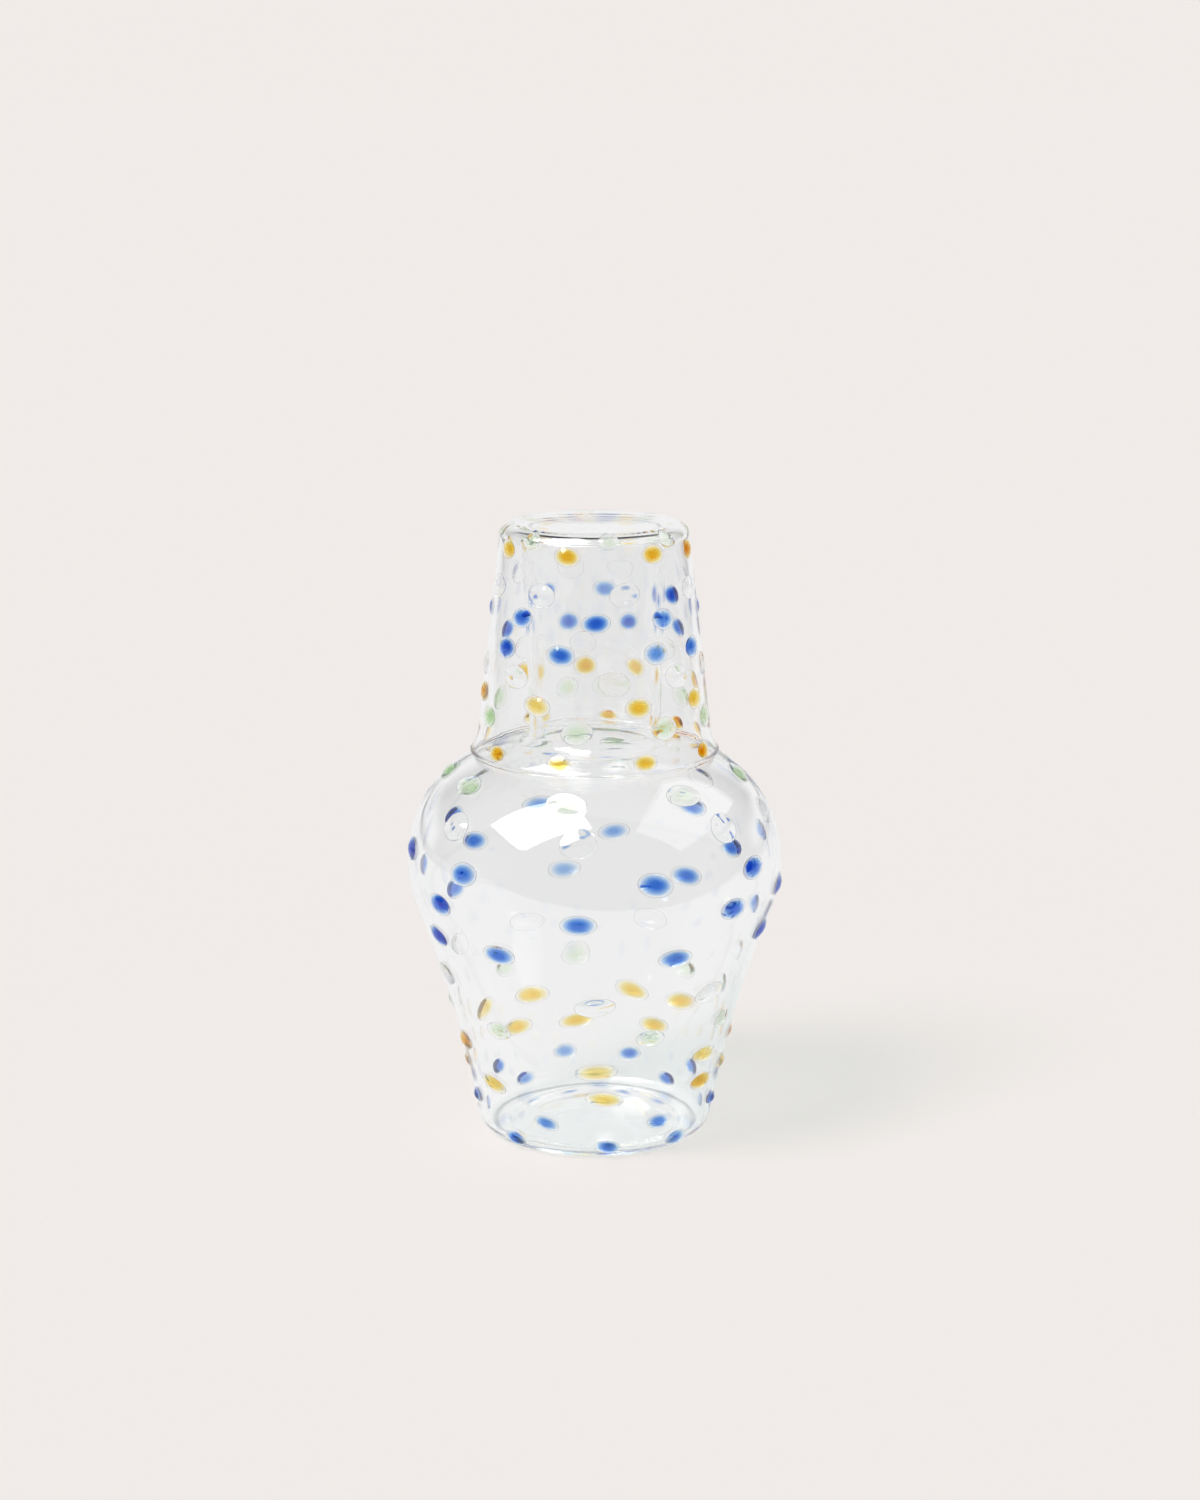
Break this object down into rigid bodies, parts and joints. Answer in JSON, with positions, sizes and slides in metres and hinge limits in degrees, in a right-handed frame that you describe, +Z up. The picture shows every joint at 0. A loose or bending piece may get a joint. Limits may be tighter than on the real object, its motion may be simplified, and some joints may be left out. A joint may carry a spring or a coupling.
{
  "type": "bedside carafe with tumbler",
  "caption": "Round clear glass carafe with a wide neck and an upturned tumbler over it as a lid, both set all over with rows of coloured glass dots.",
  "frame": {"origin": "middle of the base, on the surface that the carafe stands on", "axes": "+Z up along the axis of the carafe and the tumbler, -Y towards the front of the picture"},
  "size_m": [0.1211, 0.1221, 0.2003],
  "materials": {
    "clear_glass": "polished",
    "blue_glass": "polished",
    "amber_glass": "polished",
    "green_glass": "polished"
  },
  "bodies": {
    "carafe": {"carafe_glass": "clear_glass", "carafe_row_01_blue": "blue_glass", "carafe_row_02_blue": "blue_glass", "carafe_row_03_amber": "amber_glass", "carafe_row_04_amber": "amber_glass", "carafe_row_05_green": "green_glass", "carafe_row_06_clear": "clear_glass", "carafe_row_07_blue": "blue_glass", "carafe_row_08_blue": "blue_glass", "carafe_row_09_blue": "blue_glass", "carafe_row_10_clear": "clear_glass", "carafe_row_11_green": "green_glass"},
    "tumbler": {"tumbler_glass": "clear_glass", "tumbler_row_1_amber": "amber_glass", "tumbler_row_2_green": "green_glass", "tumbler_row_3_amber": "amber_glass", "tumbler_row_4_clear": "clear_glass", "tumbler_row_5_blue": "blue_glass", "tumbler_row_6_blue": "blue_glass", "tumbler_row_7_clear": "clear_glass", "tumbler_row_8_amber": "amber_glass", "tumbler_row_9_green": "green_glass"}
  },
  "joints": [
    {"name": "tumbler_lift", "type": "slide", "parent": "carafe", "child": "tumbler", "axis": [0, 0, 1], "range_m": [0, 0.09]}
  ]
}
